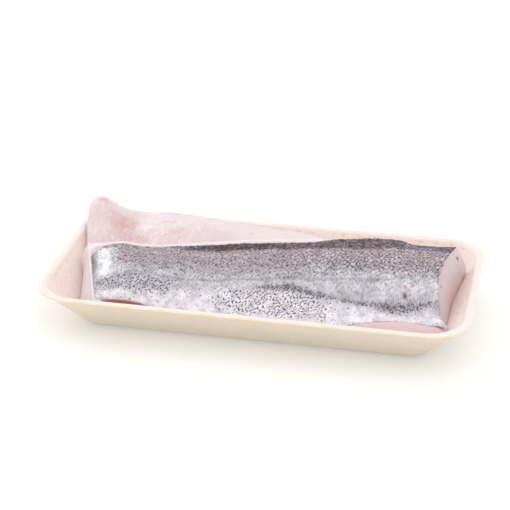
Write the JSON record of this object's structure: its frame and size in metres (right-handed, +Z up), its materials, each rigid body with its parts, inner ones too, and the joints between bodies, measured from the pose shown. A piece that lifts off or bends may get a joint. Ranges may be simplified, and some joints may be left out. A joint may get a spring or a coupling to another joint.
{
  "type": "tray of hake fillets",
  "caption": "Long foam tray with sloping walls and a rounded rim, holding raw hake fillets packed head to tail, the near one skin side up, the far one flesh side up.",
  "frame": {"origin": "centre of the tray's foot, at the middle of the bounding box's bottom face", "axes": "+X along the tray towards the near fillet's thick end, +Y from the near side to the far side, +Z up"},
  "size_m": [0.27, 0.135, 0.0456],
  "materials": {
    "tray_foam": "matt warm white starch foam, lightly embossed inside",
    "near_flesh": "moist, slightly translucent pinkish white raw fish",
    "near_skin": "wet silver-grey fish skin with a net of dark scale edges and a pale belly",
    "far_flesh": "moist, slightly translucent pinkish white raw fish",
    "far_skin": "wet silver-grey fish skin with a net of dark scale edges"
  },
  "bodies": {
    "root": {"tray": "tray_foam", "near_fillet_flesh": "near_flesh", "near_fillet_skin": "near_skin", "far_fillet_flesh": "far_flesh", "far_fillet_skin": "far_skin"}
  },
  "joints": []
}
